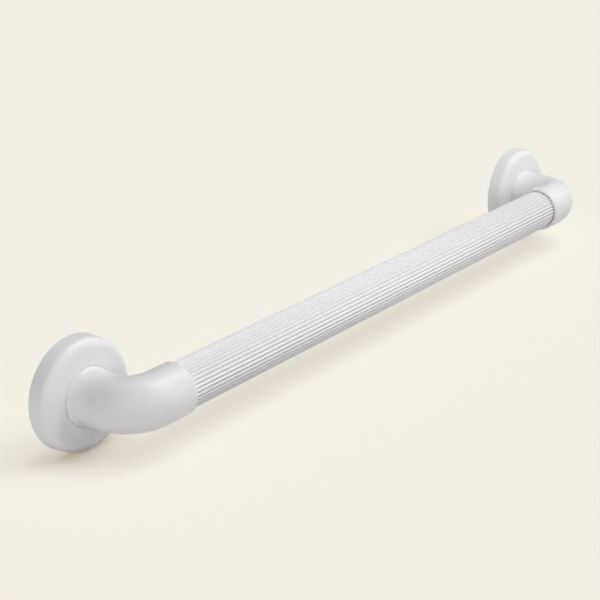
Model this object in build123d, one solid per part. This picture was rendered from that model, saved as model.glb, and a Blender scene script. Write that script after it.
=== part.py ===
"""Wall grab bar: a fluted plastic tube held between two moulded elbows.

Each elbow ends in a flange that is screwed to the wall, and a round cover is pushed over the flange
and hides its screws. Sizes are millimetres, with +X along the bar, +Y towards the wall and +Z up.
The origin is the middle of the left elbow's screw circle, on the wall.
"""
import os
from math import cos, radians, sin

from build123d import *

# Layout
fixing_centres = 534.0  # between the middles of the two screw circles
hand_clearance = 35.0  # from the wall to the back of the tube

# Fluted tube
tube_diameter = 32.0  # over the ribs
rib_count = 36
flute_depth = 0.8
rib_share = 0.56  # part of the pitch that a rib takes, half way up its side
rib_turn = 6.5  # degrees from the wall side of the tube to its first rib
tube_wall = 2.6  # from the bottom of a flute to the bore

# Elbow
socket_fit = 0.1  # round the tube in its socket
socket_depth = 19.0
socket_wall = 1.9
seat_gap = 0.2  # from the end of the tube to the bottom of its socket
lip_round = 1.0  # outer edge of the mouth
lip_chamfer = 0.2  # inner edge of the mouth
bend_inside_radius = 3.0
neck_wall = 3.5
collar_step = 1.75  # how far the collar at the foot stands out from the neck
collar_sink = 0.8  # depth below the face of the cover at which the collar starts to round over
shoulder_turn = 45.0  # steepest slope of the collar's rounded shoulder, in degrees
shoulder_share = 0.62  # part of the shoulder that bulges, before it sweeps into the neck

# Wall flange, moulded with the elbow
flange_thickness = 5.0
flange_chamfer = 0.3
flange_root = 2.0  # bevel between the flange and the collar
screw_count = 3
screw_hole_diameter = 5.2
screw_head_diameter = 10.0

# Push-on cover
cover_height = 13.8
cover_brim = 18.25  # from the collar to the widest edge of the cover
cover_side_lean = 1.0  # how far the side leans in from the wall to the rim
cover_corner_radius = 6.0
cover_wall = 2.0
cover_inside_bevel = 2.8  # inner corner between the side and the face
cover_fit = 0.15  # round the collar and round the flange
cover_wall_gap = 0.1  # from the wall to the rim of the cover
cover_hole_chamfer = 0.6
catch_height = 1.6  # ridge inside the rim that catches behind the edge of the flange
catch_reach = 0.8
catch_gap = 0.15  # round that ridge

# Worked out from the sizes above
tube_radius = tube_diameter / 2
socket_radius = tube_radius + socket_fit
elbow_radius = socket_radius + socket_wall
bore_radius = elbow_radius - neck_wall
bend_radius = elbow_radius + bend_inside_radius
mouth_reach = bend_radius + socket_depth
bar_standoff = hand_clearance + tube_radius
neck_length = bar_standoff - bend_radius
collar_radius = elbow_radius + collar_step
cover_radius = collar_radius + cover_brim
cover_hole_radius = collar_radius + cover_fit
cover_inner_radius = cover_radius - cover_wall
flange_radius = cover_inner_radius - cover_fit
catch_top = cover_wall_gap + catch_height
rebate_radius = cover_inner_radius - catch_reach - catch_gap
rebate_height = catch_top + catch_gap
screw_circle_radius = (collar_radius + flange_radius) / 2


def polar(radius, degrees):
    """Point at an angle on a circle round the origin."""
    return (radius * cos(radians(degrees)), radius * sin(radians(degrees)))


def fluted_tube():
    """Extruded tube with round ribs and round flutes all the way along."""
    pitch = 360 / rib_count
    half_rib = pitch * rib_share / 2
    side_radius = tube_radius - flute_depth / 2
    flute_radius = tube_radius - flute_depth
    outline = []
    for rib in range(rib_count):
        crest = rib_turn + rib * pitch
        rib_start = polar(side_radius, crest - half_rib)
        rib_end = polar(side_radius, crest + half_rib)
        next_start = polar(side_radius, crest + pitch - half_rib)
        outline.append(ThreePointArc(rib_start, polar(tube_radius, crest), rib_end))
        outline.append(ThreePointArc(rib_end, polar(flute_radius, crest + pitch / 2), next_start))
    section = make_face(outline) - Circle(flute_radius - tube_wall)
    end = bend_radius + seat_gap
    end_plane = Plane(origin=(end, -bar_standoff, 0), x_dir=(0, 1, 0), z_dir=(1, 0, 0))
    return extrude(end_plane * section, amount=fixing_centres - 2 * end)


def neck_and_flange():
    """Solid of revolution from the wall to the bend: flange, collar, rounded shoulder and neck."""
    shoulder_base = cover_height - collar_sink
    swing = collar_step / (1 - cos(radians(shoulder_turn)))
    bulge = swing * shoulder_share
    bulge_drop = bulge * (1 - cos(radians(shoulder_turn)))
    bulge_rise = bulge * sin(radians(shoulder_turn))
    shoulder_rise = swing * sin(radians(shoulder_turn))
    slope = (-sin(radians(shoulder_turn)), -cos(radians(shoulder_turn)))

    bulge_start = (collar_radius, -shoulder_base)
    bulge_end = (collar_radius - bulge_drop, -shoulder_base - bulge_rise)
    neck_start = (elbow_radius, -shoulder_base - shoulder_rise)
    flange_side = [
        (0, 0),
        (rebate_radius, 0),
        (rebate_radius, -rebate_height),
        (flange_radius, -rebate_height),
        (flange_radius, flange_chamfer - flange_thickness),
        (flange_radius - flange_chamfer, -flange_thickness),
        (collar_radius + flange_root, -flange_thickness),
        (collar_radius, -flange_thickness - flange_root),
    ]
    outline = [
        Polyline(*flange_side, bulge_start),
        TangentArc(bulge_start, bulge_end, tangent=(0, -1)),
        TangentArc(bulge_end, neck_start, tangent=slope),
        Polyline(neck_start, (elbow_radius, -neck_length), (0, -neck_length), (0, 0)),
    ]
    return revolve(make_face(Curve() + outline), axis=Axis.Y)


def bend(radius):
    """Quarter ring from the end of the neck to the start of the socket."""
    section = Plane(origin=(0, -neck_length, 0), z_dir=(0, -1, 0)) * Circle(radius)
    pivot = Axis((bend_radius, -neck_length, 0), (0, 0, 1))
    return revolve(section, axis=pivot, revolution_arc=90)


def socket():
    """Sleeve round the end of the tube, with a rounded lip at its mouth."""
    lip = min(lip_round, socket_wall - lip_chamfer)
    lip_start = (mouth_reach - lip, elbow_radius)
    lip_end = (mouth_reach, elbow_radius - lip)
    outline = [
        Polyline((bend_radius, 0), (bend_radius, elbow_radius), lip_start),
        TangentArc(lip_start, lip_end, tangent=(1, 0)),
        Polyline(lip_end, (mouth_reach, 0), (bend_radius, 0)),
    ]
    return Pos(0, -bar_standoff, 0) * revolve(make_face(Curve() + outline), axis=Axis.X)


def socket_bore():
    """Room for the tube, with a chamfered way in."""
    outline = Polyline(
        (bend_radius, 0),
        (bend_radius, socket_radius),
        (mouth_reach - lip_chamfer, socket_radius),
        (mouth_reach, socket_radius + lip_chamfer),
        (mouth_reach, 0),
        close=True,
    )
    return Pos(0, -bar_standoff, 0) * revolve(make_face(outline), axis=Axis.X)


def neck_bore():
    """Hollow of the neck, open at the wall."""
    section = Plane.XZ * Circle(bore_radius)
    return extrude(section, amount=neck_length)


def screw_hole():
    """Countersunk hole through the flange, along the axis of the screw circle."""
    hole_radius = screw_hole_diameter / 2
    head_radius = screw_head_diameter / 2
    outline = Polyline(
        (0, 0),
        (hole_radius, 0),
        (hole_radius, head_radius - hole_radius - flange_thickness),
        (head_radius, -flange_thickness),
        (0, -flange_thickness),
        close=True,
    )
    return revolve(make_face(outline), axis=Axis.Y)


def screw_holes():
    """The screw holes, evenly spaced with one at the top."""
    holes = []
    for turn in range(screw_count):
        across, up = polar(screw_circle_radius, 90 + turn * 360 / screw_count)
        holes.append(Pos(across, 0, up) * screw_hole())
    return holes


def elbow():
    """Hollow moulded elbow with its socket and wall flange, at the left end."""
    outside = neck_and_flange() + bend(elbow_radius) + socket()
    inside = neck_bore() + bend(bore_radius) + socket_bore()
    return outside - inside - screw_holes()


def cover_outside():
    """Outer line of the cover: leaning side, round corner and flat face up to its hole."""
    return FilletPolyline(
        (cover_radius, -cover_wall_gap),
        (cover_radius - cover_side_lean, -cover_height),
        (cover_hole_radius + cover_hole_chamfer, -cover_height),
        radius=cover_corner_radius,
    )


def cover():
    """Round shell over the flange, with a ridge inside its rim that catches behind it, at the left end."""
    inner_height = cover_height - cover_wall
    inside = Polyline(
        (cover_hole_radius + cover_hole_chamfer, -cover_height),
        (cover_hole_radius, cover_hole_chamfer - cover_height),
        (cover_hole_radius, -inner_height),
        (cover_inner_radius - cover_inside_bevel, -inner_height),
        (cover_inner_radius, cover_inside_bevel - inner_height),
        (cover_inner_radius, -catch_top),
        (cover_inner_radius - catch_reach, catch_height / 2 - catch_top),
        (cover_inner_radius, -cover_wall_gap),
        (cover_radius, -cover_wall_gap),
    )
    return revolve(make_face(cover_outside() + inside), axis=Axis.Y)


def at_right(piece):
    """The right-hand copy of a piece made at the left end."""
    return mirror(piece, about=Plane.YZ.offset(fixing_centres / 2))


left_elbow = elbow()
left_cover = cover()
pieces = {
    "fluted_tube": fluted_tube(),
    "elbow_left": left_elbow,
    "elbow_right": at_right(left_elbow),
    "cover_left": left_cover,
    "cover_right": at_right(left_cover),
}

os.makedirs("parts", exist_ok=True)
for name, shape in pieces.items():
    export_step(shape, f"parts/{name}.step")
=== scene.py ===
"""Looks of the grab bar: satin white plastic on a cream studio floor, seen as in the photograph.

Each piece is a fine mesh of the same form as its solid, with its edges eased as moulding leaves them.
Lengths are millimetres until a mesh is made, and those of the floor and the lamps are metres.
"""
from math import ceil, cos, pi, radians, sin, tan

import bmesh
import bpy
from mathutils import Matrix, Vector

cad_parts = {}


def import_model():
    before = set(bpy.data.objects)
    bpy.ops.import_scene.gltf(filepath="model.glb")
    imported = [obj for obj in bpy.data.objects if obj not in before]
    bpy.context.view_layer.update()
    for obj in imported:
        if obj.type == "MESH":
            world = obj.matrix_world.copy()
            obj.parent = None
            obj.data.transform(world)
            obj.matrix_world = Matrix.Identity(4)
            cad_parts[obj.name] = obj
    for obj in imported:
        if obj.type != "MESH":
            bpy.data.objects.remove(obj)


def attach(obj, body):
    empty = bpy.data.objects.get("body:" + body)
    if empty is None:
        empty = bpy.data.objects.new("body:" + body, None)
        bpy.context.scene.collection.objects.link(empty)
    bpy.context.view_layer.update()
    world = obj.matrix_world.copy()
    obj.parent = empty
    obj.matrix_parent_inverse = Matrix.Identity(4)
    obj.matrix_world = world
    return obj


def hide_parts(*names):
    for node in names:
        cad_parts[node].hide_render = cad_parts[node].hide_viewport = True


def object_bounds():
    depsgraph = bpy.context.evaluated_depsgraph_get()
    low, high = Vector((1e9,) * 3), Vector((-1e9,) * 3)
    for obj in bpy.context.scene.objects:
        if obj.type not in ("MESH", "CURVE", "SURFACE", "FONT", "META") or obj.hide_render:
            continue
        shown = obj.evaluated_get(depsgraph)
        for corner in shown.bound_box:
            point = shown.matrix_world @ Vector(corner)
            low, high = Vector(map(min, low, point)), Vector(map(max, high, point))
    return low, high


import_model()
cad_low, cad_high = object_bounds()

MM = 0.001
ALONG = Vector((1, 0, 0))
UP = Vector((0, 0, 1))

# Layout, as in the solids
fixing_centres = 534.0  # between the middles of the two screw circles
hand_clearance = 35.0  # from the wall to the back of the tube

# Fluted tube
tube_radius = 16.0  # over the ribs
rib_count = 36
flute_depth = 0.8
rib_share = 0.56  # part of the pitch that a rib takes, half way up its side
rib_turn = 6.5  # degrees from the wall side of the tube to its first rib
tube_wall = 2.6  # from the bottom of a flute to the bore
tube_edge = 0.3  # bevel round each end

# Elbow
socket_fit = 0.1  # round the tube in its socket
socket_depth = 19.0
socket_wall = 1.9
seat_gap = 0.2  # from the end of the tube to the bottom of its socket
lip_round = 1.0  # outer edge of the mouth
mouth_ease = 0.2  # inner edge of the mouth
bend_inside_radius = 3.0
neck_wall = 3.5
collar_step = 1.75  # how far the collar at the foot stands out from the neck
collar_sink = 0.8  # depth below the face of the cover at which the collar starts to round over
shoulder_turn = 45.0  # steepest slope of the collar's rounded shoulder, in degrees
shoulder_share = 0.62  # part of the shoulder that bulges, before it sweeps into the neck

# Wall flange
flange_thickness = 5.0
flange_round = 0.3
flange_root = 2.0  # round between the flange and the collar
screw_count = 3
screw_hole_radius = 2.6
screw_head_radius = 5.0
cutter_spare = 0.5  # how far the shape that cuts a screw hole stands out of the flange

# Push-on cover
cover_height = 13.8
cover_brim = 18.25  # from the collar to the widest edge of the cover
cover_side_lean = 1.0  # how far the side leans in from the rim to the face
cover_corner_radius = 6.0
cover_wall = 2.0
cover_inside_bevel = 2.8  # inner corner between the side and the face
cover_fit = 0.15  # round the flange
cover_seam = 0.1  # round the collar, finer than in the solids, as the seam looks in the photograph
cover_wall_gap = 0.1  # from the wall to the rim of the cover
cover_foot_round = 0.2
cover_hole_round = 0.35
catch_height = 1.6  # ridge inside the rim that catches behind the edge of the flange
catch_reach = 0.8
catch_gap = 0.15  # round that ridge

# Worked out from the sizes above
bar_standoff = hand_clearance + tube_radius
tube_bore_radius = tube_radius - flute_depth - tube_wall
socket_radius = tube_radius + socket_fit
elbow_radius = socket_radius + socket_wall
bore_radius = elbow_radius - neck_wall
bend_radius = elbow_radius + bend_inside_radius
bend_length = bend_radius * pi / 2
neck_length = bar_standoff - bend_radius
tube_end = bend_radius + seat_gap
collar_radius = elbow_radius + collar_step
shoulder_start = cover_height - collar_sink
cover_radius = collar_radius + cover_brim
cover_hole_radius = collar_radius + cover_seam
cover_inner_radius = cover_radius - cover_wall
catch_top = cover_wall_gap + catch_height
flange_radius = cover_inner_radius - cover_fit
rebate_radius = cover_inner_radius - catch_reach - catch_gap
rebate_height = catch_top + catch_gap
screw_circle_radius = (collar_radius + flange_radius) / 2

# Fineness of the meshes
arc_steps = 10
cover_arc_steps = 16
cover_sides = 192
elbow_sides = 144
elbow_ring_gap = 1.5  # longest step from one ring of points to the next
hole_sides = 48
rib_steps = 16  # round each rib and its flute
sharp_edge = 35.0  # degrees from which an edge shows
sharp_tube_edge = 60.0

# Camera, fitted to the bar's outline in the photograph
view_azimuth = -51.1
view_elevation = 20.24
view_roll = -2.1
view_distance = 988.8
view_target = Vector((165.6, -51.0, 19.85))
lens_length = 86.55
sensor_width = 36.0
nearest_seen = 0.01  # metres
farthest_seen = 100.0  # metres

# Floor
floor_size = 40.0
floor_middle = 0.25  # along the bar
floor_cream = Vector((0.896, 0.863, 0.780))  # colour as seen
floor_shadow = Vector((0.225, 0.25, 0.27))  # how deep the bar's shadow is, and how warm
floor_painted_shade = Vector((0.56, 0.50, 0.43))  # painted shade: what is left of the glowing colour in the corner under a cover
floor_painted_shade_reach = 0.02
floor_bounce = (0.49, 0.475, 0.455)  # grey for the light that the floor throws back

# Lamps by what they light. A white surface that faces a lamp of strength 1 looks white.
world_strength = 0.1
suns = {
    "floor": [dict(azimuth=35.0, elevation=60.0, spread=45.0, strength=1.04)],
    "bar": [
        dict(azimuth=45.0, elevation=32.0, spread=60.0, strength=0.291),
        dict(azimuth=180.0, elevation=3.0, spread=20.0, strength=0.45),  # for views of the back
    ],
    "tube": [
        dict(azimuth=-45.0, elevation=10.0, spread=60.0, strength=0.095),
        dict(azimuth=0.0, elevation=68.0, spread=40.0, strength=0.533),
    ],
    "fittings": [  # elbows and covers
        dict(azimuth=-45.0, elevation=10.0, spread=60.0, strength=0.335),
        dict(azimuth=-90.0, elevation=10.0, spread=60.0, strength=0.21),
        dict(azimuth=90.0, elevation=32.0, spread=60.0, strength=0.181),
    ],
}
panels = {
    "bar": [dict(place=(0.2, 0.1, 0.6), size=0.5, strength=0.051)],
    "tube": [dict(place=(0.55, -0.1, 0.35), size=0.3, strength=0.054)],
    "fittings": [
        dict(place=(0.6, -0.4, 1.2), size=0.4, strength=0.235),
        dict(place=(0.8, -0.2, 1.0), size=0.4, strength=0.100),
    ],
}
panel_aim = Vector((0.267, -0.05, 0.0))

# Plastics
elbow_white = Vector((0.857, 0.858, 0.870))
cover_white = Vector((0.907, 0.908, 0.920))
rib_white = Vector((0.905, 0.905, 0.915))
# Painted shade: the tube's white is greyed down in its flutes, where shade falls between the ribs
flute_painted_shade = Vector((0.8, 0.8, 0.805))
flute_shade_blend = (0.1, 0.9)  # part of a flute's depth over which its painted shade turns into the rib's white
moulded_roughness = (0.31, 0.39)
extruded_roughness = (0.32, 0.38)
mottle_scale = 45.0
mottle_share = 0.015  # how much lighter and darker than its white the moulded plastic is
mottle_blend = (0.3, 0.7)
grain_scale = 1400.0
grain_strength = 0.05
grain_depth = 0.00005  # metres
drawn_scale = 0.01  # scale of the tube's grain along the bar


def direction(azimuth, elevation):
    """Unit vector from the bar towards a point of the compass, with azimuth 0 in front of the bar."""
    turn = radians(azimuth)
    rise = radians(elevation)
    return Vector((sin(turn) * cos(rise), -cos(turn) * cos(rise), sin(rise)))


def turned(vector, angle):
    """A flat vector turned about the origin."""
    across = vector.x * cos(angle) - vector.y * sin(angle)
    up = vector.x * sin(angle) + vector.y * cos(angle)
    return Vector((across, up))


def eased(corners, steps):
    """Closed outline through (along, radius, ease) corners, each rounded by an arc of radius ease."""
    outline = []
    for index, (along, radius, ease) in enumerate(corners):
        here = Vector((along, radius))
        if ease == 0:
            outline.append(here)
            continue
        before = (Vector(corners[index - 1][:2]) - here).normalized()
        after = (Vector(corners[(index + 1) % len(corners)][:2]) - here).normalized()
        half = before.angle(after) / 2
        middle = here + (before + after).normalized() * (ease / sin(half))
        start = here + before * (ease / tan(half)) - middle
        sweep = pi - 2 * half
        if before.cross(after) > 0:
            sweep = -sweep
        outline += [middle + turned(start, sweep * step / steps) for step in range(steps + 1)]
    return outline


def divided(outline, longest):
    """The same closed outline with extra points, so that no step is longer than the limit."""
    points = []
    for index, start in enumerate(outline):
        end = outline[(index + 1) % len(outline)]
        steps = max(1, ceil((end - start).length / longest))
        points += [start.lerp(end, step / steps) for step in range(steps)]
    return points


def circle(middle, across, radius, count, start=0.0):
    """Points round an upright circle, the first of them a part of a step from the direction across."""
    turns = [2 * pi * (step + start) / count for step in range(count)]
    return [middle + radius * (cos(turn) * across + sin(turn) * UP) for turn in turns]


def placed(name, data):
    """New object in the scene."""
    thing = bpy.data.objects.new(name, data)
    bpy.context.scene.collection.objects.link(thing)
    return thing


def ring_mesh(name, rings, capped=False):
    """Closed mesh through rings of points, with its end rings capped or joined to each other."""
    around = len(rings[0])
    points = [point * MM for ring in rings for point in ring]
    bands = len(rings)
    faces = []
    if capped:
        bands -= 1
        last = len(points) - around
        faces.append(range(around))
        faces.append(range(last, last + around))
    for index in range(bands):
        here = index * around
        there = (index + 1) % len(rings) * around
        for side in range(around):
            after = (side + 1) % around
            faces.append((here + side, here + after, there + after, there + side))
    mesh = bpy.data.meshes.new(name)
    mesh.from_pydata(points, [], faces)
    work = bmesh.new()
    work.from_mesh(mesh)
    bmesh.ops.recalc_face_normals(work, faces=work.faces)
    work.to_mesh(mesh)
    work.free()
    return placed(name, mesh)


def smooth(piece, sharp):
    """Smooth shading, with the edges kept that are sharper than an angle."""
    piece.data.shade_smooth()
    piece.data.set_sharp_from_angle(angle=radians(sharp))


def cut(piece, cutter):
    """Takes the cutter's shape out of a piece and deletes the cutter."""
    modifier = piece.modifiers.new("cut", "BOOLEAN")
    modifier.operation = "DIFFERENCE"
    modifier.object = cutter
    evaluated = piece.evaluated_get(bpy.context.evaluated_depsgraph_get())
    piece.data = bpy.data.meshes.new_from_object(evaluated)
    piece.modifiers.clear()
    bpy.data.objects.remove(cutter)


def mirrored(piece, name):
    """The right-hand copy of a piece made at the left end."""
    mesh = piece.data.copy()
    to_right_end = Matrix.Translation((fixing_centres * MM, 0, 0))
    mesh.transform(to_right_end @ Matrix.Scale(-1, 4, ALONG))
    mesh.flip_normals()
    return placed(name, mesh)


def cover(name):
    """Round cover with a leaning side, a round corner, a flat face and a catch inside its rim."""
    inner_height = cover_height - cover_wall
    corners = [
        (cover_wall_gap, cover_radius, cover_foot_round),
        (cover_height, cover_radius - cover_side_lean, cover_corner_radius),
        (cover_height, cover_hole_radius, cover_hole_round),
        (inner_height, cover_hole_radius, 0),
        (inner_height, cover_inner_radius - cover_inside_bevel, 0),
        (inner_height - cover_inside_bevel, cover_inner_radius, 0),
        (catch_top, cover_inner_radius, 0),
        (catch_top - catch_height / 2, cover_inner_radius - catch_reach, 0),
        (cover_wall_gap, cover_inner_radius, 0),
    ]
    rings = []
    for depth, radius in eased(corners, cover_arc_steps):
        rings.append(circle(Vector((0, -depth, 0)), ALONG, radius, cover_sides))
    piece = ring_mesh(name, rings)
    smooth(piece, sharp_edge)
    return piece


def elbow_place(along):
    """Middle of the elbow's section at a distance along it from the wall, and the way out of its bend."""
    if along <= neck_length:
        return Vector((0, -along, 0)), Vector((-1, 0, 0))
    if along >= neck_length + bend_length:
        beyond = along - neck_length - bend_length
        return Vector((bend_radius + beyond, -bar_standoff, 0)), Vector((0, -1, 0))
    turn = (along - neck_length) / bend_radius
    outwards = Vector((-cos(turn), -sin(turn), 0))
    return Vector((bend_radius, -neck_length, 0)) + outwards * bend_radius, outwards


def shoulder():
    """Corners of the collar's rounded shoulder, which bulges and then sweeps into the neck."""
    steepest = radians(shoulder_turn)
    swing = collar_step / (1 - cos(steepest))
    bulge = swing * shoulder_share
    sweep = swing - bulge
    end = shoulder_start + swing * sin(steepest)
    angles = [steepest * step / arc_steps for step in range(arc_steps + 1)]
    corners = []
    for angle in angles:
        drop = bulge * (1 - cos(angle))
        corners.append((shoulder_start + bulge * sin(angle), collar_radius - drop, 0))
    for angle in reversed(angles[:-1]):
        rise = sweep * (1 - cos(angle))
        corners.append((end - sweep * sin(angle), elbow_radius + rise, 0))
    return corners


def screw_cutter(place):
    """Shape of a countersunk screw hole through the flange."""
    hole_depth = flange_thickness - (screw_head_radius - screw_hole_radius)
    outline = [
        (-cutter_spare, screw_hole_radius),
        (hole_depth, screw_hole_radius),
        (flange_thickness, screw_head_radius),
        (flange_thickness + cutter_spare, screw_head_radius),
    ]
    rings = []
    for depth, radius in outline:
        middle = place + Vector((0, -depth, 0))
        # Half a step round, so that no corner of the hole falls on an edge of the flange
        rings.append(circle(middle, ALONG, radius, hole_sides, 0.5))
    return ring_mesh("screw_cutter", rings, capped=True)


def elbow(name):
    """Hollow elbow with its socket and its wall flange."""
    bottom = neck_length + bend_length
    mouth = bottom + socket_depth
    corners = [
        (0, rebate_radius, 0),
        (rebate_height, rebate_radius, 0),
        (rebate_height, flange_radius, 0),
        (flange_thickness, flange_radius, flange_round),
        (flange_thickness, collar_radius, flange_root),
        *shoulder(),
        (mouth, elbow_radius, lip_round),
        (mouth, socket_radius, mouth_ease),
        (bottom, socket_radius, 0),
        (bottom, bore_radius, 0),
        (0, bore_radius, 0),
    ]
    rings = []
    for along, radius in divided(eased(corners, arc_steps), elbow_ring_gap):
        middle, outwards = elbow_place(along)
        rings.append(circle(middle, outwards, radius, elbow_sides))
    piece = ring_mesh(name, rings)
    for screw in range(screw_count):
        angle = pi / 2 + 2 * pi * screw / screw_count
        cut(piece, screw_cutter(Vector((cos(angle), 0, sin(angle))) * screw_circle_radius))
    smooth(piece, sharp_edge)
    return piece


def rib_radius(turn):
    """Radius of the fluted surface at a turn from the middle of a rib."""
    pitch = 2 * pi / rib_count
    half_rib = pitch * rib_share / 2
    half_flute = pitch / 2 - half_rib
    off = abs((turn + pitch / 2) % pitch - pitch / 2)
    middle_radius = tube_radius - flute_depth / 2
    if off < half_rib:
        return middle_radius + flute_depth / 2 * cos(pi / 2 * off / half_rib)
    return middle_radius - flute_depth / 2 * cos(pi / 2 * (pitch / 2 - off) / half_flute)


def fluted_tube(name):
    """Extruded tube with round ribs and flutes all the way along."""
    around = rib_count * rib_steps
    turns = [2 * pi * step / around for step in range(around)]
    fluted = [rib_radius(turn - radians(rib_turn)) for turn in turns]
    bevelled = [radius - tube_edge for radius in fluted]
    bore = [tube_bore_radius] * around
    far_end = fixing_centres - tube_end
    sections = (
        (tube_end, bevelled),
        (tube_end + tube_edge, fluted),
        (far_end - tube_edge, fluted),
        (far_end, bevelled),
        (far_end, bore),
        (tube_end, bore),
    )
    rings = []
    for x, radii in sections:
        ring = []
        for radius, turn in zip(radii, turns):
            ring.append(Vector((x, radius * cos(turn) - bar_standoff, radius * sin(turn))))
        rings.append(ring)
    piece = ring_mesh(name, rings)
    smooth(piece, sharp_tube_edge)
    return piece


def camera():
    """Camera at the photograph's place."""
    back = direction(view_azimuth, view_elevation)
    level = (-back).cross(UP).normalized()
    upright = level.cross(-back)
    roll = radians(view_roll)
    right = cos(roll) * level + sin(roll) * upright
    top = cos(roll) * upright - sin(roll) * level
    axes = Matrix((right, top, back)).transposed().to_4x4()
    data = bpy.data.cameras.new("camera")
    data.sensor_width = sensor_width
    data.lens = lens_length
    data.clip_start = nearest_seen
    data.clip_end = farthest_seen
    shot = placed("camera", data)
    shot.matrix_world = Matrix.Translation((view_target + back * view_distance) * MM) @ axes
    bpy.context.scene.camera = shot


def joined(tree, kind, **inputs):
    """New node of a material, with its inputs linked to sockets or set to values."""
    node = tree.nodes.new(kind)
    for name, value in inputs.items():
        socket = node.inputs[name.replace("_", " ")]
        if isinstance(value, bpy.types.NodeSocket):
            tree.links.new(value, socket)
        else:
            socket.default_value = value
    return node


def ramp(tree, factor, dark, light, start=0.0, end=1.0):
    """Colour that runs from dark to light as a factor goes from start to end."""
    node = joined(tree, "ShaderNodeValToRGB", Fac=factor)
    for element, position, colour in zip(node.color_ramp.elements, (start, end), (dark, light)):
        element.position = position
        element.color = (*colour, 1)
    return node.outputs["Color"]


def mottled(tree, place, colour):
    """Colour with a faint, broad unevenness, as in thick moulded plastic."""
    cloud = joined(tree, "ShaderNodeTexNoise", Vector=place, Scale=mottle_scale)
    dark = colour * (1 - mottle_share)
    light = colour * (1 + mottle_share)
    return ramp(tree, cloud.outputs["Fac"], dark, light, *mottle_blend)


def satin(tree, place, roughness):
    """Fine grain in the gloss and in the surface."""
    low, high = roughness
    shader = tree.nodes["Principled BSDF"]
    grain = joined(tree, "ShaderNodeTexNoise", Vector=place, Scale=grain_scale).outputs["Fac"]
    gloss = joined(tree, "ShaderNodeMapRange", Value=grain, To_Min=low, To_Max=high)
    bump = joined(tree, "ShaderNodeBump", Height=grain, Strength=grain_strength, Distance=grain_depth)
    tree.links.new(gloss.outputs["Result"], shader.inputs["Roughness"])
    tree.links.new(bump.outputs["Normal"], shader.inputs["Normal"])


def new_material(name):
    """Material with one plastic shader, its node tree, and places on the piece that uses it."""
    material = bpy.data.materials.new(name)
    material.use_nodes = True
    tree = material.node_tree
    return material, tree, tree.nodes.new("ShaderNodeTexCoord").outputs["Object"]


def moulded_plastic(name, white):
    """White plastic from a mould."""
    material, tree, place = new_material(name)
    colour = mottled(tree, place, white)
    tree.links.new(colour, tree.nodes["Principled BSDF"].inputs["Base Color"])
    satin(tree, place, moulded_roughness)
    return material


def extruded_plastic(name):
    """White plastic of the tube, with painted shade down in its flutes, and grain drawn out along the bar.
    """
    material, tree, place = new_material(name)
    across = joined(
        tree,
        "ShaderNodeMapping",
        Vector=place,
        Location=(0, bar_standoff * MM, 0),
        Scale=(0, 1, 1),
    )
    radius = joined(tree, "ShaderNodeVectorMath", Vector=across.outputs["Vector"])
    radius.operation = "LENGTH"
    height = joined(
        tree,
        "ShaderNodeMapRange",
        Value=radius.outputs["Value"],
        From_Min=(tube_radius - flute_depth) * MM,
        From_Max=tube_radius * MM,
    )
    # Painted shade: darker towards the bottom of each flute, lighter on the ribs
    colour = ramp(tree, height.outputs["Result"], flute_painted_shade, rib_white, *flute_shade_blend)
    tree.links.new(colour, tree.nodes["Principled BSDF"].inputs["Base Color"])
    drawn = joined(tree, "ShaderNodeMapping", Vector=place, Scale=(drawn_scale, 1, 1))
    satin(tree, drawn.outputs["Vector"], extruded_roughness)
    return material


def shown_to_eye(tree):
    """Factor that is 1 for what the camera sees, straight or through gloss and glass, and otherwise 0."""
    rays = tree.nodes.new("ShaderNodeLightPath")
    factor = rays.outputs["Is Camera Ray"]
    for name in ("Is Glossy Ray", "Is Transmission Ray"):
        either = tree.nodes.new("ShaderNodeMath")
        either.operation = "MAXIMUM"
        tree.links.new(factor, either.inputs[0])
        tree.links.new(rays.outputs[name], either.inputs[1])
        factor = either.outputs["Value"]
    return factor


def floor_paper():
    """Even cream paper that keeps the bar's soft shadow from its lamp, with painted shade in its glow close
    to the covers and the bar, and a plain grey for the light it bounces.
    """
    material = bpy.data.materials.new("floor_paper")
    material.use_nodes = True
    tree = material.node_tree
    tree.nodes.clear()
    share = sum(floor_shadow) / 3
    lit_colour = floor_cream * floor_shadow / share
    glow_colour = (floor_cream - lit_colour * share) / (1 - share)
    # Painted shade: the glow is darkened where the covers and the bar hide the floor close by
    corner = joined(tree, "ShaderNodeAmbientOcclusion", Distance=floor_painted_shade_reach)
    shade = ramp(tree, corner.outputs["AO"], glow_colour * floor_painted_shade, glow_colour)
    glow = joined(tree, "ShaderNodeEmission", Color=shade)
    lit = joined(tree, "ShaderNodeBsdfDiffuse", Color=(*lit_colour, 1))
    seen = joined(tree, "ShaderNodeMixShader", Fac=share)
    tree.links.new(glow.outputs["Emission"], seen.inputs[1])
    tree.links.new(lit.outputs["BSDF"], seen.inputs[2])
    bounce = joined(tree, "ShaderNodeBsdfDiffuse", Color=(*floor_bounce, 1))
    either = joined(tree, "ShaderNodeMixShader", Fac=shown_to_eye(tree))
    tree.links.new(bounce.outputs["BSDF"], either.inputs[1])
    tree.links.new(seen.outputs["Shader"], either.inputs[2])
    joined(tree, "ShaderNodeOutputMaterial", Surface=either.outputs["Shader"])
    return material


def floor():
    """Large level floor that the covers stand on."""
    half = floor_size / 2
    mesh = bpy.data.meshes.new("floor")
    corners = [(-half, -half, 0), (half, -half, 0), (half, half, 0), (-half, half, 0)]
    mesh.from_pydata(corners, [], [(0, 1, 2, 3)])
    mesh.materials.append(floor_paper())
    ground = placed("floor", mesh)
    ground.location = (floor_middle, 0, cad_low.z)
    return ground


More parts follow.
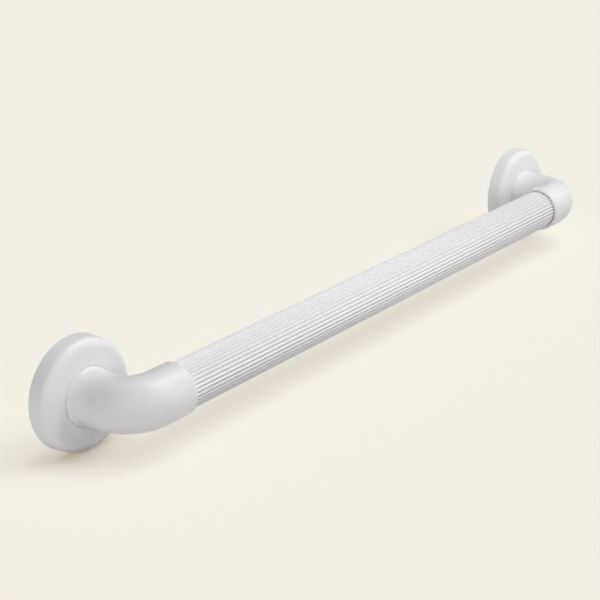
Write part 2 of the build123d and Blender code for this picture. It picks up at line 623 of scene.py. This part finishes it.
def world():
    """Weak, even light from all round."""
    studio = bpy.data.worlds.new("studio")
    studio.use_nodes = True
    sky = studio.node_tree.nodes["Background"]
    sky.inputs["Color"].default_value = (1, 1, 1, 1)
    sky.inputs["Strength"].default_value = world_strength
    bpy.context.scene.world = studio


def lamp(data, towards, lit):
    """Lamp that shines from a direction and lights one collection."""
    source = placed(data.name, data)
    source.rotation_mode = "QUATERNION"
    source.rotation_quaternion = towards.to_track_quat("Z", "Y")
    source.light_linking.receiver_collection = lit
    return source


def sun(lit, azimuth, elevation, spread, strength):
    """Far, soft lamp."""
    data = bpy.data.lights.new(lit.name + "_sun", "SUN")
    data.energy = strength * pi
    data.angle = radians(spread)
    lamp(data, direction(azimuth, elevation), lit)


def panel(lit, place, size, strength):
    """Square soft box above the bar."""
    away = Vector(place) - panel_aim
    data = bpy.data.lights.new(lit.name + "_panel", "AREA")
    data.size = size
    data.energy = strength * (pi * away.length) ** 2
    lamp(data, away, lit).location = place


def collection_of(name, members):
    """Collection of objects that a lamp lights."""
    group = bpy.data.collections.new(name)
    for member in members:
        group.objects.link(member)
    return group


plastics = {
    "tube_plastic": extruded_plastic("tube"),
    "elbow_plastic": moulded_plastic("elbow", elbow_white),
    "cover_plastic": moulded_plastic("cover", cover_white),
}
left_elbow = elbow("left_elbow")
left_cover = cover("left_cover")
pieces = {
    "fluted_tube": (fluted_tube("tube"), "tube_plastic"),
    "elbow_left": (left_elbow, "elbow_plastic"),
    "elbow_right": (mirrored(left_elbow, "right_elbow"), "elbow_plastic"),
    "cover_left": (left_cover, "cover_plastic"),
    "cover_right": (mirrored(left_cover, "right_cover"), "cover_plastic"),
}
for node, (piece, slot) in pieces.items():
    piece.data.materials.append(plastics[slot])
    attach(piece, "root")
    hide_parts(node)

camera()
world()
tube, *fittings = [piece for piece, slot in pieces.values()]
lit_groups = {
    "floor": collection_of("floor", [floor()]),
    "bar": collection_of("bar", [tube, *fittings]),
    "tube": collection_of("tube", [tube]),
    "fittings": collection_of("fittings", fittings),
}
for group, settings in suns.items():
    for setting in settings:
        sun(lit_groups[group], **setting)
for group, settings in panels.items():
    for setting in settings:
        panel(lit_groups[group], **setting)

bpy.context.scene.view_settings.view_transform = "Standard"
